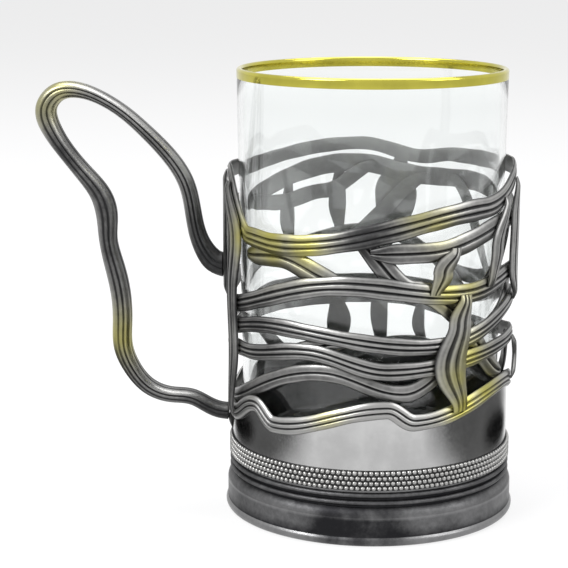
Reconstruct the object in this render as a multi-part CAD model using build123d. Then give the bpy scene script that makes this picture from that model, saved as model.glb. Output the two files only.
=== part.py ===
from build123d import *
import math
import os

os.makedirs("parts", exist_ok=True)

# Sizes in millimetres and degrees. Z is the axis of the glass, z = 0 is the table, the handle points to -X.

# Glass
rim_radius = 34.0
glass_taper = 1.7
glass_height = 102.2
glass_wall = 1.5
glass_base = 5.0
glass_corner = 3.6
punt_radius = 25.0
punt_rise = 1.4
punt_slope = 4.0
gilding_height = 2.5
gilding_skin = 0.14

# Fits
sleeve_clear = 0.15
solder_gap = 0.1
seat_gap = 0.05
gilding_gap = 0.02

# Foot
foot_radius = 37.1
foot_height = 9.5
foot_sheet = 1.2
foot_roll = 2.5
foot_wall_inset = 0.5
shoulder_drop = 2.2
shoulder_round = 0.25
flange_width = 5.5
floor_sheet = 1.1

# Rings round the skirt
wire_height = 1.4
wire_proud = 0.65
wire_space = 0.5
belt_row = 2.5
belt_proud = 0.55
bead_chamfer = 0.4

# Strips of the basket, in three layers one over the other
strip_thickness = 1.1
strip_bevel = 0.6
groove_depth = 0.4
strip_step = 6.0
blade_steps = 12
flat_width = 4.0
hoop_width = 4.2
shoulder_width = 5.0
top_width = 5.4
second_width = 5.0
narrow_width = 3.6
strand_width = 4.2
broad_strand_width = 5.4
tip_width = 2.0
tip_length = 8.0
border_width = 4.2
front_angle = -80
skirt_below_border = 1.0
strand_above_border = 2.4

# Handle
handle_depth = 7.0
handle_bevel = 1.1
handle_stations = 48
pad_height = 5.0
pad_width = 9.0
pad_foot_width = 5.0
pad_round = 1.5

glass_bottom_radius = rim_radius - glass_taper
sleeve_radius = rim_radius + sleeve_clear
hoop_radius = sleeve_radius + strip_thickness + solder_gap
blade_radius = hoop_radius + strip_thickness + solder_gap
skirt_radius = sleeve_radius + strip_thickness
floor_top = foot_height + solder_gap + floor_sheet
glass_foot = floor_top + seat_gap
rim_height = glass_foot + glass_height


def export(shape, name):
    shape.label = name
    export_step(shape, f"parts/{name}.step")
    print(name, round(shape.volume, 1))


def turned(*lines):
    return revolve(Plane.XZ * make_face(Curve() + list(lines)), Axis.Z)


def skin(rails, closed):
    count = len(rails[0])
    if closed:
        places = [i / count for i in range(count + 1)]
    else:
        places = [i / (count - 1) for i in range(count)]
    edges = [Edge.make_spline(rail, periodic=closed, parameters=places) for rail in rails]
    faces = []
    for edge, following in zip(edges, edges[1:] + edges[:1]):
        faces.append(Face.make_surface_from_curves(edge, following))
    if not closed:
        for end in (0, -1):
            corners = [rail[end] for rail in rails]
            faces.append(Face(Wire.make_polygon(corners, close=True)))
    return Solid(Shell(faces))


# Glass

def glass_outside(z):
    return glass_bottom_radius + glass_taper * (z - glass_foot) / glass_height


gilding_foot = rim_height - gilding_height
recess = gilding_skin + gilding_gap
inner_floor = glass_foot + glass_base
corner_top = glass_foot + glass_corner
bottom_edge = glass_bottom_radius - glass_corner

glass_lines = [
    Polyline(
        (0, glass_foot + punt_rise),
        (punt_radius - punt_slope, glass_foot + punt_rise),
        (punt_radius, glass_foot),
        (bottom_edge, glass_foot),
    ),
    RadiusArc((bottom_edge, glass_foot), (glass_outside(corner_top), corner_top), -glass_corner),
    Polyline(
        (glass_outside(corner_top), corner_top),
        (glass_outside(gilding_foot), gilding_foot),
        (glass_outside(gilding_foot) - recess, gilding_foot),
        (rim_radius - recess, rim_height - recess),
        (rim_radius - glass_wall + recess, rim_height - recess),
        (glass_outside(gilding_foot) - glass_wall + recess, gilding_foot),
        (glass_outside(gilding_foot) - glass_wall, gilding_foot),
        (glass_outside(inner_floor) - glass_wall, inner_floor + glass_corner),
    ),
    RadiusArc(
        (glass_outside(inner_floor) - glass_wall, inner_floor + glass_corner),
        (glass_outside(inner_floor) - glass_wall - glass_corner, inner_floor),
        glass_corner,
    ),
    Polyline(
        (glass_outside(inner_floor) - glass_wall - glass_corner, inner_floor),
        (0, inner_floor),
        (0, glass_foot + punt_rise),
    ),
]
export(turned(*glass_lines), "tea_glass")

gilding_lines = Polyline(
    (glass_outside(gilding_foot) - gilding_skin, gilding_foot),
    (glass_outside(gilding_foot), gilding_foot),
    (rim_radius, rim_height - gilding_skin),
    (rim_radius - gilding_skin, rim_height),
    (rim_radius - glass_wall + gilding_skin, rim_height),
    (rim_radius - glass_wall, rim_height - gilding_skin),
    (glass_outside(gilding_foot) - glass_wall, gilding_foot),
    (glass_outside(gilding_foot) - glass_wall + gilding_skin, gilding_foot),
    (rim_radius - glass_wall + gilding_skin, rim_height - gilding_skin),
    (rim_radius - gilding_skin, rim_height - gilding_skin),
    close=True,
)
export(turned(gilding_lines), "gilded_rim")

# Foot: rolled edge, wall, sloping shoulder and a flange turned in under the floor

wall_radius = foot_radius - foot_wall_inset
wall_top = foot_height - shoulder_drop
roll_half = foot_roll / 2
roll_centre = foot_radius - roll_half
roll_meet = roll_half + math.sqrt(roll_half**2 - (wall_radius - roll_centre) ** 2)
flange_radius = skirt_radius - flange_width
foot_lines = [
    Line((wall_radius - foot_sheet, 0), (roll_centre, 0)),
    ThreePointArc((roll_centre, 0), (foot_radius, roll_half), (wall_radius, roll_meet)),
    Polyline(
        (wall_radius, roll_meet),
        (wall_radius, wall_top),
        ((wall_radius + skirt_radius) / 2 + shoulder_round, foot_height - shoulder_drop / 3),
        (skirt_radius, foot_height),
        (flange_radius, foot_height),
        (flange_radius, foot_height - foot_sheet),
        (skirt_radius - foot_sheet, foot_height - foot_sheet),
        (wall_radius - foot_sheet, wall_top - foot_sheet),
        (wall_radius - foot_sheet, 0),
    ),
]
export(turned(*foot_lines), "foot_ring")

floor_foot = foot_height + solder_gap
export(Pos(0, 0, floor_foot) * Cylinder(sleeve_radius - solder_gap, floor_sheet,
                                        align=(Align.CENTER, Align.CENTER, Align.MIN)), "floor_disc")

# Two plain wires and the beaded belt, round the bottom of the skirt

ring_radius = skirt_radius + solder_gap
wire_foot = foot_height + wire_space


def wire_outline(foot):
    return Polyline(
        (ring_radius, foot + wire_height),
        (ring_radius, foot),
        (ring_radius + wire_proud, foot + bead_chamfer),
        (ring_radius + wire_proud, foot + wire_height - bead_chamfer),
        close=True,
    )


export(turned(wire_outline(wire_foot)), "lower_wire")
second_wire_foot = wire_foot + wire_height + wire_space
export(turned(wire_outline(second_wire_foot)), "upper_wire")

belt_foot = second_wire_foot + wire_height + wire_space
belt_middle = belt_foot + belt_row
belt_top = belt_middle + belt_row
belt_groove = ring_radius + belt_proud / 2
belt_face = belt_groove + belt_proud
belt_outline = Polyline(
    (ring_radius, belt_top),
    (ring_radius, belt_foot),
    (belt_face, belt_foot + bead_chamfer),
    (belt_face, belt_middle - bead_chamfer),
    (belt_groove, belt_middle),
    (belt_face, belt_middle + bead_chamfer),
    (belt_face, belt_top - bead_chamfer),
    close=True,
)
export(turned(belt_outline), "granulated_band")

# A strip follows a wave round the glass. The wave is given by its turns, the crests and troughs, as
# angle and height, and runs from one turn to the next along half a cosine.

border_turns = [(-178, 26.8), (-162, 26.8), (-142, 31.6), (-131, 27.8), (-83, 34.0), (-72, 30.6), (-22, 36.0),
                (25, 30.5), (70, 34.5), (115, 29.0), (150, 31.5)]
low_turns = [(-178, 43.2), (-150, 44.4), (-114, 47.4), (-82, 43.4), (-12, 46.4), (35, 43.5), (80, 47.2),
             (150, 47.0)]
middle_turns = [(-175, 48.4), (-128, 52.6), (-62, 49.0), (-5, 56.0), (45, 50.5), (90, 51.8), (135, 52.0)]
shoulder_turns = [(-172, 54.4), (-98, 64.2), (-50, 61.0), (-15, 63.5), (40, 55.8), (90, 66.0), (140, 61.5)]
top_turns = [(-172, 87.0), (-146, 73.4), (-130, 72.8), (-40, 81.2), (4, 88.0), (50, 87.6), (67, 86.4),
             (95, 89.6), (160, 86.4)]
second_turns = [(-90, 72.0), (-68, 72.0), (-20, 77.0), (40, 81.4), (66, 81.2), (98, 84.4), (172, 77.0)]


def wave(turns, angle):
    i = 0
    while i < len(turns) - 2 and angle > turns[i + 1][0]:
        i += 1
    (start, low), (end, high) = turns[i], turns[i + 1]
    share = (1 - math.cos(math.pi * (angle - start) / (end - start))) / 2
    return low + (high - low) * share


def around(turns):
    before = [(angle - 360, height) for angle, height in turns]
    after = [(angle + 360, height) for angle, height in turns]
    return before + turns + after


def strip_rails(path, widths, inside, closed, back_shares=(-1, 1)):
    outside = inside + strip_thickness
    count = len(path)
    rails = [[] for _ in range(len(back_shares) + 3)]
    for i, (angle, z) in enumerate(path):
        before = path[i - 1] if i or closed else path[i]
        after = path[(i + 1) % count] if i + 1 < count or closed else path[i]
        turn = (after[0] - before[0] + 180) % 360 - 180
        along = math.radians(turn) * inside
        rise = after[1] - before[1]
        if after == path[i] or before == path[i]:
            along, rise = (along, 0) if abs(along) > abs(rise) else (0, rise)
        length = math.hypot(along, rise)
        half = widths[i] / 2
        profile = [(inside, half * share) for share in back_shares]
        profile += [(outside, half - strip_bevel), (outside - groove_depth, 0), (outside, strip_bevel - half)]
        for rail, (radius, offset) in zip(rails, profile):
            a = math.radians(angle) - offset * rise / length / inside
            rail.append((radius * math.cos(a), radius * math.sin(a), z + offset * along / length))
    return rails


def hoop(turns, narrow, broad):
    stations = round(360 / strip_step)
    angles = [-180 + 360 * i / stations for i in range(stations)]
    path = [(angle, wave(around(turns), angle)) for angle in angles]
    widths = []
    for angle in angles:
        share = (1 + math.cos(math.radians(angle - front_angle))) / 2
        widths.append(narrow + (broad - narrow) * share)
    return skin(strip_rails(path, widths, hoop_radius, True), True)


def strand(turns, width, inside):
    start, end = turns[0][0], turns[-1][0]
    steps = max(6, round((end - start) / strip_step))
    angles = [start + (end - start) * i / steps for i in range(steps + 1)]
    path = [(angle, wave(turns, angle)) for angle in angles]
    widths = []
    for angle in angles:
        from_tip = math.radians(min(angle - start, end - angle)) * inside
        share = math.sin(math.pi / 2 * min(1, from_tip / tip_length))
        widths.append(tip_width + (width - tip_width) * share)
    return skin(strip_rails(path, widths, inside, False), False)


def border(angle):
    return wave(around(border_turns), angle)


def above_border(angle):
    return border(angle) + strand_above_border


def low(angle):
    return wave(around(low_turns), angle)


def middle(angle):
    return wave(around(middle_turns), angle)


def shoulder(angle):
    return wave(around(shoulder_turns), angle)


def top(angle):
    return wave(around(top_turns), angle)


def second(angle):
    return wave(second_turns, angle)


export(hoop(border_turns, border_width, border_width), "border_ribbon")
export(hoop(low_turns, narrow_width, hoop_width), "low_hoop")
export(hoop(middle_turns, narrow_width, hoop_width), "middle_hoop")
export(hoop(shoulder_turns, narrow_width, shoulder_width), "shoulder_hoop")
export(hoop(top_turns, narrow_width, top_width), "top_hoop")
export(strand(second_turns, second_width, hoop_radius), "second_strand")

# Strands of the inner layer, soldered at both ends to the back of a hoop

strands = {
    "front_fall": (broad_strand_width, [(-98, top), (-72, shoulder), (-18, above_border)]),
    "left_fall": (broad_strand_width, [(-152, 68.5), (-130, 69.5), (-98, shoulder)]),
    "low_sweep": (strand_width, [(-178, above_border), (-108, 42.4), (-76, 37.6), (-50, low)]),
    "right_rise": (strand_width, [(-42, shoulder), (2, second)]),
    "side_rise": (strand_width, [(-32, middle), (4, shoulder)]),
    "side_drop": (strand_width, [(-10, low), (14, above_border)]),
    "merge_link": (strand_width, [(-130, low), (-94, middle)]),
    "far_rise": (strand_width, [(16, shoulder), (50, second)]),
    "back_fall": (strand_width, [(62, second), (100, shoulder)]),
    "back_rise": (strand_width, [(88, second), (112, 77.0), (135, 75.0), (168, second)]),
    "back_link": (strand_width, [(36, middle), (66, shoulder)]),
    "back_low_rise": (strand_width, [(20, above_border), (54, low)]),
    "left_low_rise": (strand_width, [(125, above_border), (165, low)]),
}
for name, (width, ends) in strands.items():
    turns = [(angle, level(angle) if callable(level) else level) for angle, level in ends]
    export(strand(turns, width, sleeve_radius), name)

# Skirt: its upper edge follows the border ribbon

stations = round(360 / strip_step)
skirt_rails = [[], [], [], []]
for i in range(stations):
    angle = -180 + 360 * i / stations
    edge = border(angle) - skirt_below_border
    a = math.radians(angle)
    corners = [(sleeve_radius, foot_height + solder_gap), (sleeve_radius, edge),
               (skirt_radius, edge), (skirt_radius, foot_height + solder_gap)]
    for rail, (radius, z) in zip(skirt_rails, corners):
        rail.append((radius * math.cos(a), radius * math.sin(a), z))
export(skin(skirt_rails, True), "skirt")


# Upright blades over the hoops: angle, height and width from foot to tip

def blade(shape, inside):
    shape = [(angle, z(angle) if callable(z) else z, width) for angle, z, width in shape]
    heights = [z for _, z, _ in shape]
    path = []
    widths = []
    for i in range(blade_steps + 1):
        z = heights[0] + (heights[-1] - heights[0]) * i / blade_steps
        path.append((wave([(h, angle) for angle, h, _ in shape], z), z))
        widths.append(wave([(h, width) for _, h, width in shape], z))
    flats = math.ceil(max(widths) / flat_width)
    back_shares = [2 * i / flats - 1 for i in range(flats + 1)]
    return skin(strip_rails(path, widths, inside, False, back_shares), False)


blades = {
    "back_leaf": [(85, border, 3.4), (86, 42.0, 5.0), (85, 58.0, 4.2), (79, 76.0, 12.5), (77, top, 3.0)],
    "back_stem_right": [(66, border, 2.6), (68, 40.0, 3.8), (67, low, 2.6)],
    "back_stem_low": [(106, border, 3.4), (104, 40.0, 7.0), (105, low, 4.0)],
    "back_stem_middle": [(104, shoulder, 2.6), (105, 73.0, 5.0), (104, second, 2.6)],
    "back_stem_left": [(128, shoulder, 2.6), (130, 70.0, 5.4), (129, second, 2.6)],
    "left_post": [
        (-161, border, 3.0), (-158, 44.0, 7.0), (-160, 58.0, 8.0), (-157, 72.0, 10.0), (-166, top, 5.0),
    ],
    "right_post_front": [(-37, shoulder, 2.6), (-33, 71.0, 5.5), (-25, top, 2.6)],
    "right_post_side": [(-11, middle, 2.6), (-15, 65.0, 8.0), (-13, 77.0, 9.0), (-10, top, 3.0)],
    "right_blade": [(-65, shoulder, 2.6), (-62, 67.0, 5.4), (-56, second, 2.6)],
    "right_trunk": [(-53, border, 4.0), (-58, 44.0, 9.0), (-54, 54.0, 6.6), (-51, shoulder, 3.4)],
    "side_loop": [(-12, border, 2.4), (-8, 41.2, 3.4), (-12, low, 2.4)],
    "handle_plate": [(180, 55.0, 4.0), (180, 64.0, 13.0), (180, 76.0, 10.0), (180, top, 3.4)],
}
for name, shape in blades.items():
    export(blade(shape, blade_radius), name)

pad_top = border(180) - border_width / 2 - solder_gap
pad_shape = [
    (180, pad_top - pad_height, pad_foot_width),
    (180, pad_top - pad_round, pad_width),
    (180, pad_top, pad_width),
]
export(blade(pad_shape, hoop_radius), "handle_pad")

# Handle: centre line as reach from the plate, height and the thickness there, from the upper root round the
# loop to the lower root

upper_root = blade_radius + strip_thickness + solder_gap
lower_root = hoop_radius + strip_thickness + solder_gap
handle_course = [
    (0, 62.4, 6.4), (1.85, 63.1, 6.0), (4.25, 65.6, 5.0), (6.25, 69.9, 4.3), (7.55, 76.2, 4.1),
    (9.25, 83.5, 4.0), (13.55, 90.4, 3.8), (19.25, 96.4, 3.4), (24.45, 101.0, 3.2), (30.25, 104.7, 3.2),
    (36.25, 106.8, 3.8), (41.55, 106.2, 4.8), (44.55, 102.3, 5.6), (43.25, 96.8, 4.8), (39.65, 91.2, 4.0),
    (35.05, 85.5, 4.3), (31.15, 80.2, 5.2), (29.65, 75.0, 5.8), (29.45, 69.0, 4.2), (27.95, 61.8, 5.0),
    (26.45, 54.5, 5.0), (26.15, 47.0, 5.0), (26.05, 40.6, 4.9), (23.95, 35.2, 4.2), (19.55, 30.0, 3.8),
    (13.75, 27.8, 3.6), (8.25, 27.2, 3.6), (4.25, 25.2, 3.7), (1.05, 23.9, 3.9),
    (lower_root - upper_root, 23.6, 4.0),
]
handle_line = [(-upper_root - reach, z, thickness) for reach, z, thickness in handle_course]
centre_line = Spline([(x, 0, z) for x, z, _ in handle_line])
thickness_turns = []
for x, z, thickness in handle_line:
    thickness_turns.append((centre_line.param_at_point((x, 0, z)), thickness))
half_depth = handle_depth / 2
handle_rails = [[] for _ in range(8)]
for i in range(handle_stations + 1):
    share = i / handle_stations
    point = centre_line.position_at(share)
    ahead = centre_line.tangent_at(share)
    if i in (0, handle_stations):
        ahead = Vector(-1 if i == 0 else 1, 0, 0)
    half = wave(thickness_turns, share) / 2
    corners = [(half, half_depth - handle_bevel), (half, handle_bevel - half_depth),
               (half - handle_bevel, -half_depth), (handle_bevel - half, -half_depth),
               (-half, handle_bevel - half_depth), (-half, half_depth - handle_bevel),
               (handle_bevel - half, half_depth), (half - handle_bevel, half_depth)]
    for rail, (across, depth) in zip(handle_rails, corners):
        rail.append((point.X + ahead.Z * across, depth, point.Z - ahead.X * across))
export(skin(handle_rails, False), "handle")
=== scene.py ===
import math

import bpy
import numpy as np
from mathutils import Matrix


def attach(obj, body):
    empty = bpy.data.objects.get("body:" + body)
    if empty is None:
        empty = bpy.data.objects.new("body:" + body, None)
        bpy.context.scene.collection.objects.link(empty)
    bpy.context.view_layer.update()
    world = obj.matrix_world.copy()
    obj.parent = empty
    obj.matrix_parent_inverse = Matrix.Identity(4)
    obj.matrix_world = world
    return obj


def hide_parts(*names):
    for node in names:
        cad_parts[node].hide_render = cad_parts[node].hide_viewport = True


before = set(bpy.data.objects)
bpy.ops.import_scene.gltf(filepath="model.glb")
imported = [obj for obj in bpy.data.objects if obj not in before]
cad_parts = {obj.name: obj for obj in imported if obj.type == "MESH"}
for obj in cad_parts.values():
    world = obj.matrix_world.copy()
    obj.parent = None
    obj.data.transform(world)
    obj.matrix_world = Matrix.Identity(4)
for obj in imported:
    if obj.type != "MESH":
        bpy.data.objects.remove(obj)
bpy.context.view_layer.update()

# The object is sized in millimetres and degrees in the frame of the solids, and the stage in metres
mm = 0.001

# Layers from the glass outwards: strands on the sleeve, hoops over the strands, blades over the hoops
layers = dict(sleeve=34.15, thickness=1.1, solder=0.1)
layers["hoop"] = layers["sleeve"] + layers["thickness"] + layers["solder"]
layers["blade"] = layers["hoop"] + layers["thickness"] + layers["solder"]
layers["skirt"] = layers["sleeve"] + layers["thickness"]

# Spots on the finish as centre, reach and strength: at the warm ones the plating has worn through to brass,
# and the dull ones are painted shade and dark reflection on the foot's front, the handle and the hoops
warmSpots = [
    ((-79, 0, 107), 5, 1.0), ((-83, 0, 103), 5, 1.0), ((-64, 0, 44), 7, 1.3), ((-30, -20, 73), 6, 1.2),
    ((-25, -26, 73), 7, 1.3), ((-16, -32, 73), 6, 1.1), ((12, -34, 81), 5, 0.7), ((16, -33, 78), 5, 0.8),
    ((24, -27, 64), 5, 0.9), ((19, -31, 62), 5, 1.0), ((25, -27, 45), 6, 0.9), ((21, -30, 41), 5, 0.8),
    ((29, -22, 36), 6, 1.0), ((23, -28, 33), 6, 1.1), ((-10, -35, 32), 4, 0.6),
]
paintedShadeSpots = [
    ((-2, -36, 77), 8, 0.7), ((-33, -15, 54), 7, 0.4), ((-27, -24, 52), 7, 0.35), ((-9, -36, 4.5), 5, 0.8),
    ((-2, -37, 4), 5, 0.9), ((4, -37, 4.5), 5, 0.7), ((-39, -2, 64), 9, 0.6), ((-42, -2, 71), 8, 0.45),
    ((-39, -2, 25), 8, 0.6), ((-76, -2, 91), 8, 0.35), ((-69, -2, 80), 8, 0.35), ((-66, -2, 66), 8, 0.3),
]
reliefLimit = 1.2


# How spotted each point is: every spot fades from its centre as a bell curve, and the strongest one counts
def spotted(points, spots):
    total = np.zeros(len(points))
    for centre, reach, strength in spots:
        distance = np.linalg.norm(points - np.array(centre), axis=1)
        total = np.maximum(total, strength * np.exp(-(distance / reach) ** 2))
    return np.minimum(total, 1)


def newObject(name, data):
    piece = bpy.data.objects.new(name, data)
    bpy.context.collection.objects.link(piece)
    return piece


def addAttribute(mesh, key, values):
    layer = mesh.attributes.new(key, "FLOAT", "POINT")
    layer.data.foreach_set("value", values.ravel().astype(np.float32))


# Relief is high on what rubs bright and low in the recesses, and in places it paints highlights and shade
def addMesh(name, node, points, faces, relief, material, sharp=40, slot="oxidised_silver", body="holder"):
    mesh = bpy.data.meshes.new(name)
    mesh.from_pydata((points * mm).tolist(), [], faces)
    mesh.shade_smooth()
    mesh.set_sharp_from_angle(angle=math.radians(sharp))
    # the relief is lowered at the spots of painted shade
    addAttribute(mesh, "relief", np.clip(relief - spotted(points, paintedShadeSpots), 0, reliefLimit))
    addAttribute(mesh, "warm", spotted(points, warmSpots))
    mesh.materials.append(material)
    piece = newObject(name, mesh)
    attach(piece, body)
    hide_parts(node)
    return piece


# Four-cornered faces between neighbours in a grid, which joins up with itself in a closed direction
def gridFaces(rows, columns, closedRows, closedColumns):
    i = np.arange(rows if closedRows else rows - 1)
    j = np.arange(columns if closedColumns else columns - 1)
    i, j = np.meshgrid(i, j, indexing="ij")
    nextI = (i + 1) % rows
    nextJ = (j + 1) % columns
    quads = np.stack([i * columns + j, nextI * columns + j, nextI * columns + nextJ, i * columns + nextJ], -1)
    return quads.reshape(-1, 4).tolist()


# The first and the last row of a grid as two end faces
def endFaces(rows, columns):
    first = list(range(columns))
    last = list(range((rows - 1) * columns, rows * columns))
    return [first, last[::-1]]


def fullTurn(count):
    return np.linspace(0, 2 * math.pi, count, endpoint=False)


# Points round the axis, from radius, turn in radians and height
def roundAxis(radius, turn, height):
    points = np.broadcast_arrays(radius * np.cos(turn), radius * np.sin(turn), height)
    return np.stack(points, -1).reshape(-1, 3)


def addNode(tree, kind, **settings):
    node = tree.nodes.new(kind)
    for key, value in settings.items():
        setattr(node, key, value)
    return node


# A socket, a colour or a number goes into a node's input
def feed(tree, socket, value):
    if isinstance(value, bpy.types.NodeSocket):
        tree.links.new(value, socket)
    elif isinstance(value, tuple):
        socket.default_value = (*value, 1.0)
    else:
        socket.default_value = value


def feedAll(tree, node, settings):
    for label, value in settings.items():
        feed(tree, node.inputs[label], value)


def noise(tree, place, scale, detail, roughness):
    node = addNode(tree, "ShaderNodeTexNoise")
    feedAll(tree, node, dict(Vector=place, Scale=scale, Detail=detail, Roughness=roughness))
    return node.outputs["Fac"]


# A value between low and high runs smoothly from toLow to toHigh
def spread(tree, value, low, high, toLow=0.0, toHigh=1.0):
    node = addNode(tree, "ShaderNodeMapRange", interpolation_type="SMOOTHSTEP")
    ends = {"From Min": low, "From Max": high, "To Min": toLow, "To Max": toHigh}
    feedAll(tree, node, dict(Value=value, **ends))
    return node.outputs["Result"]


def compute(tree, operation, first, second):
    node = addNode(tree, "ShaderNodeMath", operation=operation)
    feed(tree, node.inputs[0], first)
    feed(tree, node.inputs[1], second)
    return node.outputs[0]


def addShare(tree, first, second, share):
    return compute(tree, "ADD", first, compute(tree, "MULTIPLY", second, share))


def blendColour(tree, share, first, second, blend="MIX"):
    node = addNode(tree, "ShaderNodeMix", data_type="RGBA", blend_type=blend)
    colourA, colourB, colourOut = 6, 7, 2  # the colour sockets of the mix node
    feed(tree, node.inputs["Factor"], share)
    feed(tree, node.inputs[colourA], first)
    feed(tree, node.inputs[colourB], second)
    return node.outputs[colourOut]


# A finish is a group that puts out a colour, a roughness and a height
def newFinish(name, values, colours):
    group = bpy.data.node_groups.new(name, "ShaderNodeTree")
    number, colour = "NodeSocketFloat", "NodeSocketColor"
    for label in values:
        group.interface.new_socket(label, in_out="INPUT", socket_type=number)
    for label in colours:
        group.interface.new_socket(label, in_out="INPUT", socket_type=colour)
    for label, kind in (("Color", colour), ("Roughness", number), ("Height", number)):
        group.interface.new_socket(label, in_out="OUTPUT", socket_type=kind)
    given = addNode(group, "NodeGroupInput").outputs
    place = addNode(group, "ShaderNodeTexCoord").outputs["Object"]
    return group, given, addNode(group, "NodeGroupOutput"), place


# Noises are scale, detail and roughness, and ranges are from, to and what these become
ageingLook = dict(
    cloud=(90.0, 3.0, 0.55), speck=(700.0, 5.0, 0.65), grain=(2600.0, 2.0, 0.55),
    cloudShare=0.7, speckShare=0.45, warmShare=0.45, speckRoughness=0.12, grainHeight=0.5,
    wear=(0.55, 1.75), bare=(0.3, 0.62, 0.75, 1.0), dull=(0.6, 1.7, 0.48, 0.26),
    bumpStrength=0.22, bumpDepth=0.00012, brass=(1.0, 0.93, 0.23),
)


# Ageing: relief, clouds, specks and warmth add up to wear and painted light, which runs from tarnish to
# bright silver and from rough to smooth, and the warm spots are tinted with brass
def makeAgeing():
    look = ageingLook
    group, given, result, place = newFinish("ageing", ["Relief", "Warm"], ["Tarnish", "Silver", "Brass"])
    cloud = noise(group, place, *look["cloud"])
    speck = noise(group, place, *look["speck"])
    grain = noise(group, place, *look["grain"])
    wearAndPaintedLight = addShare(group, given["Relief"], cloud, look["cloudShare"])
    wearAndPaintedLight = addShare(group, wearAndPaintedLight, speck, look["speckShare"])
    wearAndPaintedLight = addShare(group, wearAndPaintedLight, given["Warm"], look["warmShare"])
    metal = blendColour(group, spread(group, wearAndPaintedLight, *look["wear"]), given["Tarnish"], given["Silver"])
    bare = compute(group, "MULTIPLY", given["Warm"], spread(group, cloud, *look["bare"]))
    tinted = blendColour(group, bare, metal, given["Brass"], "MULTIPLY")
    rough = addShare(group, spread(group, wearAndPaintedLight, *look["dull"]), speck, look["speckRoughness"])
    height = addShare(group, speck, grain, look["grainHeight"])
    feedAll(group, result, dict(Color=tinted, Roughness=rough, Height=height))
    return group


polishLook = dict(cloud=(110.0, 3.0, 0.55), scuff=(1500.0, 4.0, 0.7), clouding=(0.3, 0.75),
                  scuffing=(0.3, 0.7), cloudedShare=0.8, bumpDepth=0.0001)


# Polish: clouds run between two brightnesses, and fine scuffs between two roughnesses
def makePolish():
    look = polishLook
    group, given, result, place = newFinish("polish", ["Smooth", "Scuffed"], ["Bright", "Clouded"])
    cloud = noise(group, place, *look["cloud"])
    scuff = noise(group, place, *look["scuff"])
    shade = blendColour(group, spread(group, cloud, *look["clouding"]), given["Clouded"], given["Bright"])
    rough = spread(group, scuff, *look["scuffing"], given["Smooth"], given["Scuffed"])
    feedAll(group, result, dict(Color=shade, Roughness=rough, Height=scuff))
    return group


ageing = makeAgeing()
polish = makePolish()


def newMaterial(name):
    material = bpy.data.materials.new(name)
    material.use_nodes = True
    return material, material.node_tree, material.node_tree.nodes["Principled BSDF"]


def finishedMetal(name, group, settings, bumpStrength, bumpDepth):
    material, tree, shader = newMaterial(name)
    finish = addNode(tree, "ShaderNodeGroup", node_tree=group)
    feedAll(tree, finish, settings)
    bump = addNode(tree, "ShaderNodeBump")
    feedAll(tree, bump, dict(Strength=bumpStrength, Distance=bumpDepth, Height=finish.outputs["Height"]))
    feed(tree, shader.inputs["Metallic"], 1.0)
    feed(tree, shader.inputs["Base Color"], finish.outputs["Color"])
    feed(tree, shader.inputs["Roughness"], finish.outputs["Roughness"])
    feed(tree, shader.inputs["Normal"], bump.outputs["Normal"])
    return material, finish


def agedMetal(name, tarnish, silver):
    look = ageingLook
    colours = dict(Tarnish=tarnish, Silver=silver, Brass=look["brass"])
    material, finish = finishedMetal(name, ageing, colours, look["bumpStrength"], look["bumpDepth"])
    tree = material.node_tree
    for label, key in (("Relief", "relief"), ("Warm", "warm")):
        reader = addNode(tree, "ShaderNodeAttribute", attribute_name=key)
        feed(tree, finish.inputs[label], reader.outputs["Fac"])
    return material


def polishedMetal(name, colour, smooth, scuffed, bumpStrength):
    clouded = tuple(polishLook["cloudedShare"] * channel for channel in colour)
    settings = dict(Bright=colour, Clouded=clouded, Smooth=smooth, Scuffed=scuffed)
    return finishedMetal(name, polish, settings, bumpStrength, polishLook["bumpDepth"])[0]


glassLook = dict(colour=(0.97, 0.985, 0.98), bending=1.5, smear=(60.0, 4.0, 0.55),
                 smearing=(0.45, 0.8, 0.0, 0.03))


# Glass: clear, with smears that are a little rougher
def clearGlass(name):
    material, tree, shader = newMaterial(name)
    place = addNode(tree, "ShaderNodeTexCoord").outputs["Object"]
    smear = noise(tree, place, *glassLook["smear"])
    feed(tree, shader.inputs["Base Color"], glassLook["colour"])
    feed(tree, shader.inputs["Transmission Weight"], 1.0)
    feed(tree, shader.inputs["IOR"], glassLook["bending"])
    feed(tree, shader.inputs["Roughness"], spread(tree, smear, *glassLook["smearing"]))
    return material


basketMetal = agedMetal("oxidisedSilver", tarnish=(0.042, 0.042, 0.043), silver=(0.37, 0.368, 0.36))
# Darker copy of the aged silver: painted shade and dark reflection, partly tarnish, low down and inside
shadedFootMetal = agedMetal("shadedFootSilver", tarnish=(0.02, 0.02, 0.022), silver=(0.245, 0.245, 0.248))
skirtMetal = polishedMetal("polishedSilver", (0.53, 0.53, 0.527), smooth=0.1, scuffed=0.2, bumpStrength=0.04)
giltMetal = polishedMetal("gilding", (0.58, 0.53, 0.085), smooth=0.1, scuffed=0.15, bumpStrength=0.01)
glassClear = clearGlass("clearGlass")
print("materials", len(bpy.data.materials))


# Part of a circle in a profile, from one angle to another
def arc(centre, radius, start, end, count, relief=0.0):
    angles = np.radians(np.linspace(start, end, count))
    return [(centre[0] + radius * math.cos(a), centre[1] + radius * math.sin(a), relief) for a in angles]


turnedSegments = 240


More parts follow.
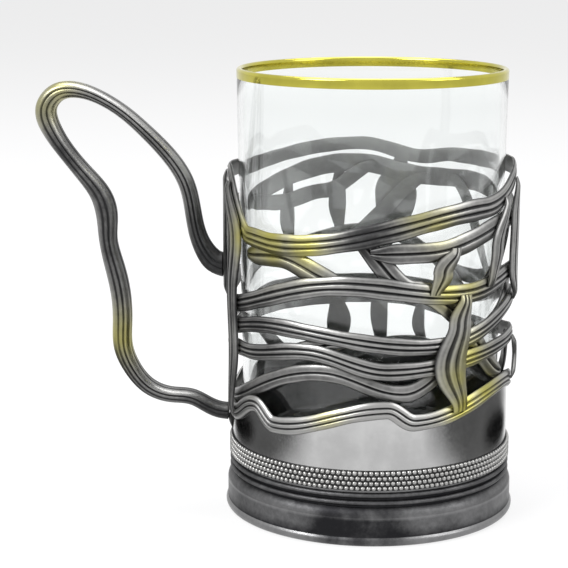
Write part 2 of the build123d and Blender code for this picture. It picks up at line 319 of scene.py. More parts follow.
# Turned pieces: a profile of radius, height and relief is carried round the axis. One that starts and ends on
# the axis is closed there by two poles, and any other by joining its end to its start.
def lathe(name, node, profile, material, **choices):  # choices are addMesh's sharp, slot and body
    profile = np.array(profile)
    solid = profile[0, 0] == 0
    radius, height, relief = profile[1:-1].T if solid else profile.T
    points = roundAxis(radius, fullTurn(turnedSegments)[:, None], height)
    columns = len(radius)
    faces = gridFaces(turnedSegments, columns, True, not solid)
    relief = np.tile(relief, turnedSegments)
    if solid:
        start = np.arange(turnedSegments) * columns
        ahead = np.roll(start, -1)
        pole = np.full(turnedSegments, len(points))
        faces += np.stack([pole, ahead, start], -1).tolist()
        faces += np.stack([start + columns - 1, ahead + columns - 1, pole + 1], -1).tolist()
        points = np.concatenate([points, [(0, 0, profile[0, 1]), (0, 0, profile[-1, 1])]])
        relief = np.concatenate([relief, profile[[0, -1], 2]])
    addMesh(name, node, points, faces, relief, material, **choices)


glass = dict(rimRadius=34.0, bottomRadius=32.3, foot=10.75, height=102.2, wall=1.5, base=5.0, corner=3.6,
             cornerEnd=-2, puntRadius=25.0, puntRise=1.4, puntPower=4, giltHeight=2.5, giltSkin=0.14,
             giltGap=0.03, inset=0.02, cornerToWall=2.0, innerCornerToWall=1.0, wallToRim=3.0)
glassSteps = dict(punt=10, corner=12, wall=20, lip=14, giltLip=18, floorShares=(0.75, 0.5, 0.25, 0))
rim = glass["foot"] + glass["height"]
lipCentre = (glass["rimRadius"] - glass["wall"] / 2, rim - glass["wall"] / 2)


# Outside radius of the glass at a height, in a straight taper
def outside(z):
    taper = (glass["rimRadius"] - glass["bottomRadius"]) / glass["height"]
    return glass["bottomRadius"] + taper * (z - glass["foot"])


# Tea glass: the hollow under the bottom falls off with a power of the radius, and then come the rounded
# corner, the tapered wall, the rounded lip, the inside of the wall, its corner and the floor
def makeGlass():
    bottom, corner, wall = glass["foot"], glass["corner"], glass["wall"]
    wallTop = rim - glass["wallToRim"]
    innerFloor = bottom + glass["base"]
    innerCorner = outside(innerFloor) - wall - corner
    profile = [(0, bottom + glass["puntRise"], 0)]
    for share in np.linspace(0, 1, glassSteps["punt"] + 1)[1:]:
        rise = glass["puntRise"] * (1 - share ** glass["puntPower"])
        profile.append((glass["puntRadius"] * share, bottom + rise, 0))
    outerCorner = (glass["bottomRadius"] - corner, bottom + corner)
    profile += arc(outerCorner, corner, -90, glass["cornerEnd"], glassSteps["corner"])
    for z in np.linspace(bottom + corner + glass["cornerToWall"], wallTop, glassSteps["wall"]):
        profile.append((outside(z) - glass["inset"], z, 0))
    profile += arc(lipCentre, wall / 2 - glass["giltSkin"] - glass["giltGap"], 0, 180, glassSteps["lip"])
    for z in np.linspace(wallTop, innerFloor + corner + glass["innerCornerToWall"], glassSteps["wall"]):
        profile.append((outside(z) - wall, z, 0))
    profile += arc((innerCorner, innerFloor + corner), corner, 0, -90, glassSteps["corner"])
    profile += [(innerCorner * share, innerFloor, 0) for share in glassSteps["floorShares"]]
    lathe("teaGlass", "tea_glass", profile, glassClear, sharp=60, slot="glass", body="glass")


# Gilding: a thin skin up the outside of the wall, over the rounded lip and down the inside
def makeGilding():
    edge = rim - glass["giltHeight"]
    skin, lip = glass["giltSkin"], glass["wall"] / 2
    outer = outside(edge)
    inner = outer - glass["wall"]
    profile = [(outer, edge, 0)] + arc(lipCentre, lip, 0, 180, glassSteps["giltLip"])
    profile += [(inner, edge, 0), (inner + skin, edge, 0)]
    profile += arc(lipCentre, lip - skin, 180, 0, glassSteps["giltLip"]) + [(outer - skin, edge, 0)]
    lathe("gildedRim", "gilded_rim", profile, giltMetal, slot="gilt", body="glass")


makeGlass()
makeGilding()

# The foot's wall is given as height and relief, and the relief of its shoulder fades upwards
# Relief paints shade and dark reflection low on the wall, and a highlight on the roll, partly wear
foot = dict(radius=37.1, height=9.5, sheet=1.2, roll=2.5, rollEnd=50, inset=0.5, drop=2.2, flange=5.5,
            bulge=0.24, bulgeRise=0.6, wall=((2.35, 0.1), (2.9, 0.3), (4.5, 0.55), (6.4, 0.6), (7.1, 0.9)),
            underShine=0.2, rollShine=0.85, shoulderShine=0.75, shoulderFade=0.5, insideShine=0.1,
            rollSteps=16, shoulderSteps=9)


# Foot: a rolled edge, a wall, a shoulder that swells as half a sine, a flange and the inside of the sheet
def makeFoot():
    sheet, half, inside = foot["sheet"], foot["roll"] / 2, foot["insideShine"]
    wallRadius = foot["radius"] - foot["inset"]
    wallTop = foot["height"] - foot["drop"]
    topRadius = layers["skirt"]
    flange = topRadius - foot["flange"]
    rollCentre = (foot["radius"] - half, half)
    profile = [(wallRadius - sheet, 0.0, foot["underShine"])]
    profile += arc(rollCentre, half, -90, foot["rollEnd"], foot["rollSteps"], foot["rollShine"])
    profile += [(wallRadius, z, relief) for z, relief in foot["wall"]]
    for share in np.linspace(0, 1, foot["shoulderSteps"]):
        bulge = foot["bulge"] * math.sin(math.pi * share)
        radius = wallRadius + (topRadius - wallRadius) * share + bulge
        height = wallTop + foot["drop"] * share + bulge * foot["bulgeRise"]
        profile.append((radius, height, foot["shoulderShine"] - foot["shoulderFade"] * share))
    profile += [(flange, foot["height"], inside), (flange, foot["height"] - sheet, inside)]
    profile += [(topRadius - sheet, foot["height"] - sheet, inside)]
    profile += [(wallRadius - sheet, wallTop - sheet, inside)]
    lathe("footRing", "foot_ring", profile, shadedFootMetal)


floorDisc = dict(height=1.1, edge=0.2, edgeShine=0.2, shine=0.1, shares=(0.8, 0.5, 0.25, 0))


# Floor disc: flat, with both edges bevelled
def makeFloorDisc():
    edge = floorDisc["edge"]
    base = foot["height"] + layers["solder"]
    top = base + floorDisc["height"]
    radius = layers["sleeve"] - layers["solder"]
    outline = [(0, base), (radius - edge, base), (radius, base + edge), (radius, top - edge)]
    profile = [(r, z, floorDisc["edgeShine"]) for r, z in outline + [(radius - edge, top)]]
    profile += [(radius * share, top, floorDisc["shine"]) for share in floorDisc["shares"]]
    lathe("floorDisc", "floor_disc", profile, shadedFootMetal)


makeFoot()
makeFloorDisc()

wires = dict(height=1.4, proud=0.65, space=0.5, fullness=0.7, shine=0.5, steps=14)
ringRadius = layers["skirt"] + layers["solder"]


# Wire: a flat back on the skirt, and a front that swells as a power of half a sine
def makeWire(name, node, base):
    profile = [(ringRadius, base + wires["height"], 0.0), (ringRadius, base, 0.0)]
    for share in np.linspace(0, 1, wires["steps"]):
        swell = math.sin(math.pi * share) ** wires["fullness"]
        radius = ringRadius + wires["proud"] * swell
        profile.append((radius, base + wires["height"] * share, wires["shine"] * swell))
    lathe(name, node, profile, shadedFootMetal)


lowerFoot = foot["height"] + wires["space"]
upperFoot = lowerFoot + wires["height"] + wires["space"]
makeWire("lowerWire", "lower_wire", lowerFoot)
makeWire("upperWire", "upper_wire", upperFoot)

# Domes fill their places across and up by two shares, and shine more towards the top: wear and a painted
# glint
belt = dict(foot=upperFoot + wires["height"] + wires["space"], height=5.0, proud=0.82, sheet=0.25, edge=0.05,
            sink=0.05, rows=4, count=168, rings=4, sides=8, segments=200, topTilt=0.2, fillAcross=0.98,
            fillUp=0.96, shine=0.5, topShine=0.9)


# Granulated band: staggered rows of small domes on a thin strip. A dome is half an ellipsoid, where tilt runs
# from its rim to its top and spin goes round it.
def makeBand():
    rows, count, rings, sides = belt["rows"], belt["count"], belt["rings"], belt["sides"]
    base, top = belt["foot"], belt["foot"] + belt["height"]
    face = ringRadius + belt["sheet"]
    stripRadius = np.array([ringRadius, face, face, ringRadius])
    stripHeight = np.array([base, base + belt["edge"], top - belt["edge"], top])
    sheet = roundAxis(stripRadius, fullTurn(belt["segments"])[:, None], stripHeight)
    tilt = np.linspace(0.5 * math.pi, belt["topTilt"], rings)[:, None]
    spin = fullTurn(sides)[None, :]
    pitch = belt["height"] / rows
    bulge = np.cos(tilt) * np.ones_like(spin)
    across = np.sin(tilt) * np.cos(spin) * math.pi / count * belt["fillAcross"]
    up = np.sin(tilt) * np.sin(spin) * pitch / 2 * belt["fillUp"]
    out = face - belt["sink"] + bulge * (belt["proud"] - belt["sheet"])
    row, place = np.meshgrid(np.arange(rows), np.arange(count), indexing="ij")
    angle = (2 * math.pi * (place + 0.5 * (row % 2)) / count)[..., None, None] + across
    height = (base + pitch * (row + 0.5))[..., None, None] + up
    points = np.concatenate([sheet, roundAxis(out, angle, height)])
    starts = len(sheet) + rings * sides * np.arange(rows * count)
    walls = np.array(gridFaces(rings, sides, False, True))[:, ::-1]
    caps = (rings - 1) * sides + np.arange(sides)
    soles = np.arange(sides)[::-1]
    faces = gridFaces(belt["segments"], len(stripRadius), True, True)
    faces += (starts[:, None, None] + walls).reshape(-1, 4).tolist()
    faces += (starts[:, None] + caps).tolist() + (starts[:, None] + soles).tolist()
    shine = np.tile((belt["shine"] + belt["topShine"] * bulge).ravel(), rows * count)
    relief = np.concatenate([np.zeros(len(sheet)), shine])
    addMesh("granulatedBand", "granulated_band", points, faces, relief, basketMetal)


makeBand()

# Crests and troughs of the hoops and of the second strand, as angle and height
turns = dict(
    border=[(-178, 26.8), (-162, 26.8), (-142, 31.6), (-131, 27.8), (-83, 34.0), (-72, 30.6), (-22, 36.0),
            (25, 30.5), (70, 34.5), (115, 29.0), (150, 31.5)],
    low=[(-178, 43.2), (-150, 44.4), (-114, 47.4), (-82, 43.4), (-12, 46.4), (35, 43.5), (80, 47.2),
         (150, 47.0)],
    middle=[(-175, 48.4), (-128, 52.6), (-62, 49.0), (-5, 56.0), (45, 50.5), (90, 51.8), (135, 52.0)],
    shoulder=[(-172, 54.4), (-98, 64.2), (-50, 61.0), (-15, 63.5), (40, 55.8), (90, 66.0), (140, 61.5)],
    top=[(-172, 87.0), (-146, 73.4), (-130, 72.8), (-40, 81.2), (4, 88.0), (50, 87.6), (67, 86.4),
         (95, 89.6), (160, 86.4)],
    second=[(-90, 72.0), (-68, 72.0), (-20, 77.0), (40, 81.4), (66, 81.2), (98, 84.4), (172, 77.0)],
)
widths = dict(narrow=3.6, hoop=4.2, shoulder=5.0, top=5.4, second=5.0, strand=4.2, broad=5.4, border=4.2,
              tip=2.0, tipLength=8.0, front=-80, skirtBelow=1.0, strandAbove=2.4)
everyDegree = np.arange(-180.0, 180.0, 1.0)


# Half a cosine between one turn of a line and the next
def wave(line, at):
    places, values = np.array(line, dtype=float).T
    i = np.clip(np.searchsorted(places, at, side="right") - 1, 0, len(places) - 2)
    share = (at - places[i]) / (places[i + 1] - places[i])
    return values[i] + (values[i + 1] - values[i]) * (1 - np.cos(np.pi * share)) / 2


# Height of a hoop's middle at an angle. Only the second strand doesn't close up round the axis.
def level(name, angle):
    line = turns[name]
    if name != "second":
        line = [(line[-1][0] - 360, line[-1][1])] + line + [(line[0][0] + 360, line[0][1])]
    return wave(line, np.asarray(angle, dtype=float))


# A height, or that of the hoop which is named
def heightOf(meets, angle):
    return float(level(meets, angle)) if isinstance(meets, str) else meets


# A strip's front runs from -1 to 1 across, and depths are shares of the thickness
section = dict(columns=31, crown=0.62, crownPower=3, grooveDepth=0.42, grooveWidth=0.11, grooveSpread=0.9,
               borderPlace=0.82, borderWidth=0.1, lipPlace=0.22, lipWidth=0.09,
               backAcross=(0.97, 0.6, 0, -0.6, -0.97), backOut=(0.08, 0, 0, 0, 0.08), backShine=0.75,
               shine=0.52, ribbonHighlight=0.3, edgeShine=0.4, grooveDark=1.3, rimDark=0.5, rimPower=12)


# Section of a strip: a crown that falls off with a power of the distance from the middle, less a bell curve
# for each groove, and a flat back. Relief is high along the borders and the lips of the grooves.
def stripSection(grooves, highlightLift):
    face = np.sin(np.linspace(-0.5 * math.pi, 0.5 * math.pi, section["columns"]))
    crown = 1 - section["crown"] * np.abs(face) ** section["crownPower"]
    groove = np.zeros_like(face)
    edge = np.exp(-(((np.abs(face) - section["borderPlace"]) / section["borderWidth"]) ** 2))
    for k in range(1, grooves + 1):
        apart = np.abs(face - (2 * k / (grooves + 1) - 1) * section["grooveSpread"])
        groove += np.exp(-((apart / section["grooveWidth"]) ** 2))
        edge += np.exp(-(((apart - section["lipPlace"]) / section["lipWidth"]) ** 2))
    # a lift brightens the whole front, as a painted highlight that partly stands for polish
    front = section["shine"] + highlightLift + section["edgeShine"] * edge - section["grooveDark"] * groove
    front -= section["rimDark"] * np.abs(face) ** section["rimPower"]
    # the back is bright: a painted sheen on the strips seen through the glass
    back = np.full(len(section["backOut"]), section["backShine"])
    across = np.concatenate([face, section["backAcross"]])
    out = np.concatenate([crown - section["grooveDepth"] * groove, section["backOut"]])
    return across, out, np.concatenate([front, back])


# Two ripples in the width, as shares of it and counts round the axis, and the thinned ends of an open strip
handwork = dict(broad=0.035, broadCount=9, broadShift=7, fine=0.025, fineCount=23, tipThickness=0.3,
                tipReach=2.5)


# Strip: the section is carried on a cylinder along a path of angle and height, square to the path. Two sines
# of the angle ripple its width, and an open strip thins towards its ends as a quarter of a sine.
def strip(name, node, path, width, inside, closed, grooves, highlightLift=0.0):
    angle, z = path
    turn = np.radians(angle)
    if closed:
        step = np.gradient(np.concatenate([angle[-1:] - 360, angle, angle[:1] + 360]))[1:-1]
        rise = np.gradient(np.concatenate([z[-1:], z, z[:1]]))[1:-1]
    else:
        step, rise = np.gradient(angle), np.gradient(z)
    along = np.radians(step) * inside
    length = np.hypot(along, rise)
    across, out, relief = stripSection(grooves, highlightLift)
    count, columns = len(angle), len(across)
    faces = gridFaces(count, columns, closed, True)
    thick = np.full(count, layers["thickness"])
    if not closed:
        faces += endFaces(count, columns)
        run = np.concatenate([[0], np.cumsum(length[1:])])
        share = np.clip(np.minimum(run, run[-1] - run) / handwork["tipReach"], 0, 1)
        thin = handwork["tipThickness"]
        thick *= thin + (1 - thin) * np.sin(0.5 * math.pi * share)
    ripple = handwork["broad"] * np.sin(turn * handwork["broadCount"] + inside * handwork["broadShift"])
    ripple += handwork["fine"] * np.sin(turn * handwork["fineCount"] + z.mean())
    offset = np.outer(width * (1 + ripple) / 2, across)
    pointTurn = turn[:, None] - offset * (rise / length / inside)[:, None]
    height = z[:, None] + offset * (along / length)[:, None]
    points = roundAxis(inside + np.outer(thick, out), pointTurn, height)
    addMesh(name, node, points, faces, np.tile(relief, count), basketMetal, sharp=50)


# Hoop: a full round with two grooves, whose width grows towards the front as half a cosine
def hoop(name, node, key, narrow, broad, highlightLift=0.0):
    share = (1 + np.cos(np.radians(everyDegree - widths["front"]))) / 2
    width = narrow + (broad - narrow) * share
    strip(name, node, (everyDegree, level(key, everyDegree)), width, layers["hoop"], True, 2, highlightLift)


# Strand: an open run with one groove, whose width grows from both tips as a quarter of a sine
def strand(name, node, line, width, inside):
    first, last = line[0][0], line[-1][0]
    leastRows = 24
    angle = np.linspace(first, last, max(leastRows, int(last - first)))
    fromTip = np.radians(np.minimum(angle - angle[0], angle[-1] - angle)) * inside
    share = np.sin(0.5 * math.pi * np.minimum(1, fromTip / widths["tipLength"]))
    width = widths["tip"] + (width - widths["tip"]) * share
    strip(name, node, (angle, wave(line, angle)), width, inside, False, 1)


# The border ribbon's front is lifted brighter: a painted highlight where it catches the light, and a brighter
# polish
hoop("borderRibbon", "border_ribbon", "border", widths["border"], widths["border"], section["ribbonHighlight"])
hoop("lowHoop", "low_hoop", "low", widths["narrow"], widths["hoop"])
hoop("middleHoop", "middle_hoop", "middle", widths["narrow"], widths["hoop"])
hoop("shoulderHoop", "shoulder_hoop", "shoulder", widths["narrow"], widths["shoulder"])
hoop("topHoop", "top_hoop", "top", widths["narrow"], widths["top"])
strand("secondStrand", "second_strand", turns["second"], widths["second"], layers["hoop"])

# Strands behind the hoops: width, and turns as angle and height, or the hoop that is met there
strands = dict(
    front_fall=("broad", [(-98, "top"), (-72, "shoulder"), (-18, "border")]),
    left_fall=("broad", [(-152, 68.5), (-130, 69.5), (-98, "shoulder")]),
    low_sweep=("strand", [(-178, "border"), (-108, 42.4), (-76, 37.6), (-50, "low")]),
    right_rise=("strand", [(-42, "shoulder"), (2, "second")]),
    side_rise=("strand", [(-32, "middle"), (4, "shoulder")]),
    side_drop=("strand", [(-10, "low"), (14, "border")]),
    merge_link=("strand", [(-130, "low"), (-94, "middle")]),
    far_rise=("strand", [(16, "shoulder"), (50, "second")]),
    back_fall=("strand", [(62, "second"), (100, "shoulder")]),
    back_rise=("strand", [(88, "second"), (112, 77.0), (135, 75.0), (168, "second")]),
    back_link=("strand", [(36, "middle"), (66, "shoulder")]),
    back_low_rise=("strand", [(20, "border"), (54, "low")]),
    left_low_rise=("strand", [(125, "border"), (165, "low")]),
)


# A node's name as a piece's name
def camel(node):
    words = node.split("_")
    return words[0] + "".join(word.title() for word in words[1:])


for node, (size, ends) in strands.items():
    line = []
    for angle, meets in ends:
        above = widths["strandAbove"] if meets == "border" else 0
        line.append((angle, heightOf(meets, angle) + above))
    strand(camel(node), node, line, widths[size], layers["sleeve"])

skirt = dict(rows=14, lowRows=4, insideShine=0.35, shine=1.0)


# Skirt: up the inside, over the edge that follows the border, and down the outside, at every degree round the
# axis. It is polished outside above the foot of the belt, and dull elsewhere.
def makeSkirt():
    rows, lowRows = skirt["rows"], skirt["lowRows"]
    count, columns = len(everyDegree), 2 * rows + lowRows
    top = level("border", everyDegree) - widths["skirtBelow"]
    base = foot["height"] + layers["solder"]
    share = np.linspace(0, 1, rows)
    inner = base + np.outer(top - base, share)
    outer = top[:, None] + np.outer(belt["foot"] - top, share)
    lower = np.tile(np.linspace(belt["foot"], base, lowRows + 1)[1:], (count, 1))
    height = np.concatenate([inner, outer, lower], 1)
    radius = np.repeat([layers["sleeve"], layers["skirt"]], [rows, rows + lowRows])
    points = roundAxis(radius, np.radians(everyDegree)[:, None], height)
    faces = [face[::-1] for face in gridFaces(count, columns, True, True)]
    relief = np.tile(np.repeat([skirt["insideShine"], skirt["shine"], 0.0], [rows, rows, lowRows]), count)
    piece = addMesh("polishedSkirt", "skirt", points, faces, relief, skirtMetal, slot="polished_silver")
    # the inside and the part behind the belt take the darker foot silver, as painted shade
    piece.data.materials.append(shadedFootMetal)
    column = np.arange(len(faces)) % columns
    dull = (column < rows - 1) | (column >= 2 * rows - 1)
    piece.data.polygons.foreach_set("material_index", dull.astype(np.int32))


makeSkirt()

# Blades over the hoops, from the foot up: angle, height or the hoop that is met there, and width
blades = dict(
    back_leaf=[(85, "border", 3.4), (86, 42.0, 5.0), (85, 58.0, 4.2), (79, 76.0, 12.5), (77, "top", 3.0)],
    back_stem_right=[(66, "border", 2.6), (68, 40.0, 3.8), (67, "low", 2.6)],
    back_stem_low=[(106, "border", 3.4), (104, 40.0, 7.0), (105, "low", 4.0)],
    back_stem_middle=[(104, "shoulder", 2.6), (105, 73.0, 5.0), (104, "second", 2.6)],
    back_stem_left=[(128, "shoulder", 2.6), (130, 70.0, 5.4), (129, "second", 2.6)],
    left_post=[(-161, "border", 3.0), (-158, 44.0, 7.0), (-160, 58.0, 8.0), (-157, 72.0, 10.0),
               (-166, "top", 5.0)],
    right_post_front=[(-37, "shoulder", 2.6), (-33, 71.0, 5.5), (-25, "top", 2.6)],
    right_post_side=[(-11, "middle", 2.6), (-15, 65.0, 8.0), (-13, 77.0, 9.0), (-10, "top", 3.0)],
    right_blade=[(-65, "shoulder", 2.6), (-62, 67.0, 5.4), (-56, "second", 2.6)],
    right_trunk=[(-53, "border", 4.0), (-58, 44.0, 9.0), (-54, 54.0, 6.6), (-51, "shoulder", 3.4)],
    side_loop=[(-12, "border", 2.4), (-8, 41.2, 3.4), (-12, "low", 2.4)],
    handle_plate=[(180, 55.0, 4.0), (180, 64.0, 13.0), (180, 76.0, 10.0), (180, "top", 3.4)],
)
bladeRows = 70
twoGrooveWidth = 6.0  # wider blades have two grooves
pad = dict(angle=180, height=5.0, shoulder=1.5, bottomWidth=5.0, width=9.0)


# Blade: an upright strip, whose angle and width run in half cosines over its height
def blade(node, shape, inside, grooves):
    shape = [(angle, heightOf(meets, angle), width) for angle, meets, width in shape]
    z = np.linspace(shape[0][1], shape[-1][1], bladeRows)
    angle = wave([(h, a) for a, h, w in shape], z)
    width = wave([(h, w) for a, h, w in shape], z)
    strip(camel(node), node, (angle, z), width, inside, False, grooves)


for node, shape in blades.items():
    broadest = max(width for angle, meets, width in shape)
    blade(node, shape, layers["blade"], 2 if broadest > twoGrooveWidth else 1)
padTop = heightOf("border", pad["angle"]) - widths["border"] / 2 - layers["solder"]
padShape = [(pad["angle"], padTop - pad["height"], pad["bottomWidth"]),
            (pad["angle"], padTop - pad["shoulder"], pad["width"]), (pad["angle"], padTop, pad["width"])]
blade("handle_pad", padShape, layers["hoop"], 1)

# The handle's centre line is x, z and thickness, from its seat on the plate to its seat on the pad
plateSeat = layers["blade"] + layers["thickness"] + layers["solder"]
padSeat = layers["hoop"] + layers["thickness"] + layers["solder"]
handle = dict(
    depth=7.0, rows=260, columns=72, smoothing=13, seatLength=3.0, squareness=2.6,
    lineShift=0.2, lineWidth=0.07, lineDepth=0.1, shine=0.55, cornerShine=0.3, cornerPower=4, lineDark=1.1,
    line=[(-plateSeat, 62.4, 6.4), (-39.6, 63.1, 6.0), (-42.0, 65.6, 5.0), (-44.0, 69.9, 4.3),
          (-45.3, 76.2, 4.1), (-47.0, 83.5, 4.0), (-51.3, 90.4, 3.8), (-57.0, 96.4, 3.4), (-62.2, 101.0, 3.2),
          (-68.0, 104.7, 3.2), (-74.0, 106.8, 3.8), (-79.3, 106.2, 4.8), (-82.3, 102.3, 5.6),
          (-81.0, 96.8, 4.8), (-77.4, 91.2, 4.0), (-72.8, 85.5, 4.3), (-68.9, 80.2, 5.2), (-67.4, 75.0, 5.8),
          (-67.2, 69.0, 4.2), (-65.7, 61.8, 5.0), (-64.2, 54.5, 5.0), (-63.9, 47.0, 5.0), (-63.8, 40.6, 4.9),
          (-61.7, 35.2, 4.2), (-57.3, 30.0, 3.8), (-51.5, 27.8, 3.6), (-46.0, 27.2, 3.6), (-42.0, 25.2, 3.7),
          (-38.8, 23.9, 3.9), (-padSeat, 23.6, 4.0)],
)


# Smooth curve through values at places: a cubic between each two, with bends that agree and none at the ends
def smoothCurve(places, values, at):
    gaps = np.diff(places)
    count = len(places)
    system = np.eye(count)
    rates = np.zeros(count)
    for i in range(1, count - 1):
        system[i, i - 1 : i + 2] = gaps[i - 1], 2 * (gaps[i - 1] + gaps[i]), gaps[i]
        rates[i] = 6 * ((values[i + 1] - values[i]) / gaps[i] - (values[i] - values[i - 1]) / gaps[i - 1])
    bend = np.linalg.solve(system, rates)
    i = np.clip(np.searchsorted(places, at, side="right") - 1, 0, count - 2)
    left, right = places[i + 1] - at, at - places[i]
    curve = (bend[i] * left ** 3 + bend[i + 1] * right ** 3) / (6 * gaps[i])
    curve += (values[i] / gaps[i] - bend[i] * gaps[i] / 6) * left
    return curve + (values[i + 1] / gaps[i] - bend[i + 1] * gaps[i] / 6) * right


# Section of the handle: a rounded square, from powers of cosine and sine, with two lines cut into each side
# as bell curves. Relief is high at the four corners.
def handleSection():
    around = fullTurn(handle["columns"])
    power = 2 / handle["squareness"]
    across = np.sign(np.cos(around)) * np.abs(np.cos(around)) ** power
    deep = np.sign(np.sin(around)) * np.abs(np.sin(around)) ** power
    cut = np.zeros_like(around)
    for side in fullTurn(4):
        for shift in (-handle["lineShift"], handle["lineShift"]):
            gap = (around - side - shift + math.pi) % (2 * math.pi) - math.pi
            cut += np.exp(-((gap / handle["lineWidth"]) ** 2))
    sink = 1 - handle["lineDepth"] * cut
    corner = np.abs(np.sin(2 * around)) ** handle["cornerPower"]
    relief = handle["shine"] + handle["cornerShine"] * corner - handle["lineDark"] * cut
    return across * sink, deep * sink * handle["depth"] / 2, relief


# Handle: the section is carried along the smooth curve through its line, square to the curve, and turns
# square to x towards its seats. Its thickness is a running mean.
def makeHandle():
    x, z, thickness = np.array(handle["line"]).T
    rows, columns, smoothing = handle["rows"], handle["columns"], handle["smoothing"]
    places = np.concatenate([[0], np.cumsum(np.hypot(np.diff(x), np.diff(z)))])
    at = np.linspace(0, places[-1], rows)
    centreX, centreZ = smoothCurve(places, x, at), smoothCurve(places, z, at)
    half = np.pad(np.interp(at, places, thickness) / 2, smoothing // 2, mode="edge")
    half = np.convolve(half, np.ones(smoothing) / smoothing, mode="valid")
    aheadX, aheadZ = np.gradient(centreX), np.gradient(centreZ)
    fade = np.clip(np.minimum(at, at[::-1]) / handle["seatLength"], 0, 1)
    aheadX = aheadX * fade + np.sign(aheadX) * np.abs(aheadX).max() * (1 - fade)
    aheadZ = aheadZ * fade
    length = np.hypot(aheadX, aheadZ)
    across, deep, relief = handleSection()
    offset = np.outer(half, across)
    pointX = centreX[:, None] + (aheadZ / length)[:, None] * offset
    pointZ = centreZ[:, None] - (aheadX / length)[:, None] * offset
    points = np.stack(np.broadcast_arrays(pointX, deep, pointZ), -1).reshape(-1, 3)
    faces = [face[::-1] for face in gridFaces(rows, columns, False, True) + endFaces(rows, columns)]
    addMesh("vineHandle", "handle", points, faces, np.tile(relief, rows), basketMetal, sharp=60)


makeHandle()


# The floor and the cards, which aren't part of the object
def stagePiece(name, points, faces, material):
    mesh = bpy.data.meshes.new(name)
    mesh.from_pydata(points, [], faces)
    mesh.materials.append(material)
    piece = newObject(name, mesh)
    return piece


def emptyTree(owner):
    owner.use_nodes = True
    owner.node_tree.nodes.clear()
    return owner.node_tree


# Rays that show the white surround: straight from the camera, off the metal or through the glass
def showsSurround(tree):
    ray = addNode(tree, "ShaderNodeLightPath").outputs
    through = compute(tree, "MAXIMUM", ray["Is Glossy Ray"], ray["Is Transmission Ray"])
    return compute(tree, "MAXIMUM", ray["Is Camera Ray"], through)


def mixShader(tree, share, first, second):
    mix = addNode(tree, "ShaderNodeMixShader")
    feed(tree, mix.inputs["Fac"], share)
    feed(tree, mix.inputs[1], first)
    feed(tree, mix.inputs[2], second)
    return mix.outputs[0]


def plainShader(tree, kind, colour, **strength):
    node = addNode(tree, kind)
    feedAll(tree, node, dict(Color=colour, **strength))
    return node.outputs[0]


white = (1.0, 1.0, 1.0)
floor = dict(left=-6, right=6, near=-3, far=9, lit=(0.9, 0.9, 0.91), unlit=(0.12, 0.12, 0.125), glow=0.78)


# Floor: pale and glowing to rays that show the surround, and dark to the rest
def makeFloor():
    material = bpy.data.materials.new("paleFloor")
    tree = emptyTree(material)
    lit = plainShader(tree, "ShaderNodeBsdfDiffuse", floor["lit"])
    glow = plainShader(tree, "ShaderNodeEmission", white, Strength=1.0)
    unlit = plainShader(tree, "ShaderNodeBsdfDiffuse", floor["unlit"])
    surface = mixShader(tree, showsSurround(tree), unlit, mixShader(tree, floor["glow"], lit, glow))
    feed(tree, addNode(tree, "ShaderNodeOutputMaterial").inputs["Surface"], surface)
    left, right, near, far = floor["left"], floor["right"], floor["near"], floor["far"]
    corners = [(left, near, 0), (right, near, 0), (right, far, 0), (left, far, 0)]
    stagePiece("floor", corners, [(0, 1, 2, 3)], material)


makeFloor()

# Dark studio cards on the floor at both sides, seen only as reflections in the metal. Turns are degrees from
# the front.
cards = dict(
    shade=dict(turn=92, halfTurn=55, distance=0.13, halfDepth=0.09, height=0.001, strength=0.15),
    flag=dict(turn=115, halfTurn=25, distance=0.0975, halfDepth=0.023, height=0.0015, strength=0.0),
)
cardGrid = dict(rows=13, columns=41, fadeShare=0.4)
hiddenFrom = ("visible_camera", "visible_diffuse", "visible_transmission", "visible_shadow")


# Card: an ellipse in turn and distance, which fades out towards its edge
def studioCard(name, card, sign):
    material = bpy.data.materials.new(name)
    tree = emptyTree(material)
    fade = addNode(tree, "ShaderNodeAttribute", attribute_name="fade").outputs["Fac"]
    clear = plainShader(tree, "ShaderNodeBsdfTransparent", white)
    dark = plainShader(tree, "ShaderNodeEmission", white, Strength=card["strength"])
    surface = mixShader(tree, fade, clear, dark)
    feed(tree, addNode(tree, "ShaderNodeOutputMaterial").inputs["Surface"], surface)
    rows, columns = cardGrid["rows"], cardGrid["columns"]
    across = np.linspace(-1, 1, columns)[None, :]
    deep = np.linspace(1, -1, rows)[:, None] * np.sqrt(1 - across ** 2)
    turn = np.radians(sign * card["turn"] + card["halfTurn"] * across) - 0.5 * math.pi
    points = roundAxis(card["distance"] + card["halfDepth"] * deep, turn, card["height"])
    piece = stagePiece(name, points.tolist(), gridFaces(rows, columns, False, False), material)
    addAttribute(piece.data, "fade", np.clip((1 - np.hypot(across, deep)) / cardGrid["fadeShare"], 0, 1))
    for ray in hiddenFrom:
        setattr(piece, ray, False)


for kind, card in cards.items():
    studioCard("left" + kind.title() + "Card", card, -1)
    studioCard("right" + kind.title() + "Card", card, 1)

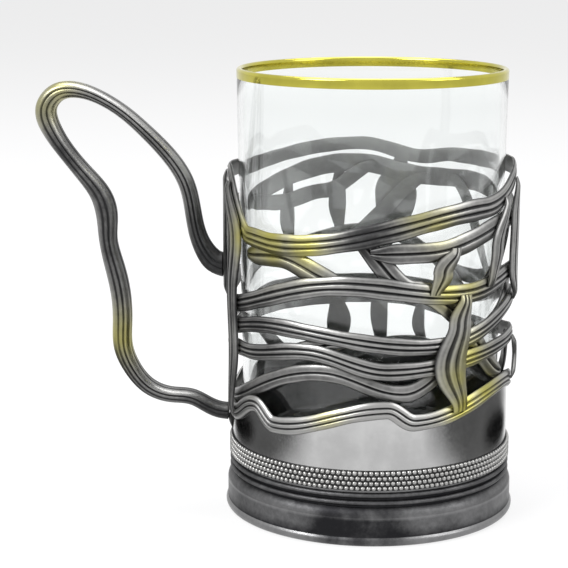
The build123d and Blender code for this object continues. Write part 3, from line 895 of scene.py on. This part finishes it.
# Lamps as place, size and power
lamps = dict(
    keyLight=((-0.6, -0.5, 0.8), (0.5, 0.5), 10),
    fillLight=((0.7, -0.3, 0.6), (0.4, 0.6), 3),
    topLight=((0.0, 0.25, 1.0), (0.9, 0.7), 9),
)
lampTarget = (0.0, 0.0, 0.06)


def softLight(name, place, size, power):
    light = bpy.data.lights.new(name, "AREA")
    light.shape = "RECTANGLE"
    light.size, light.size_y = size
    light.energy = power
    lamp = newObject(name, light)
    lamp.location = place
    toward = np.array(lampTarget) - np.array(place)
    flat = math.hypot(toward[0], toward[1])
    lamp.rotation_euler = (math.atan2(flat, -toward[2]), 0, math.atan2(-toward[0], toward[1]))
    lamp.visible_transmission = False  # no sparkle from lamps caught through the glass


for name, (place, size, power) in lamps.items():
    softLight(name, place, size, power)

surround = dict(ambient=(0.3, 0.3, 0.31), backdrop=(0.97, 0.97, 0.97))


def makeSurround():
    world = bpy.data.worlds.new("surround")
    bpy.context.scene.world = world
    tree = emptyTree(world)
    ambient = plainShader(tree, "ShaderNodeBackground", surround["ambient"], Strength=1.0)
    backdrop = plainShader(tree, "ShaderNodeBackground", surround["backdrop"], Strength=1.0)
    surface = mixShader(tree, showsSurround(tree), ambient, backdrop)
    feed(tree, addNode(tree, "ShaderNodeOutputWorld").inputs["Surface"], surface)


makeSurround()

# Camera at the photograph's view, fitted to the mouth of the glass and the foot, with its angles in radians
photo = dict(distance=0.45066, height=0.14997, yaw=0.049, pitch=0.2024, focalPixels=1796.0, widthPixels=568,
             sensorWidth=36.0, nearest=0.01)
lens = bpy.data.cameras.new("photoCamera")
lens.sensor_width = photo["sensorWidth"]
lens.lens = photo["sensorWidth"] * photo["focalPixels"] / photo["widthPixels"]
lens.clip_start = photo["nearest"]
camera = newObject("photoCamera", lens)
camera.location = (0.0, -photo["distance"], photo["height"])
camera.rotation_euler = (0.5 * math.pi - photo["pitch"], 0.0, photo["yaw"])
bpy.context.scene.camera = camera
bpy.context.scene.view_settings.view_transform = "Standard"
bpy.context.view_layer.update()
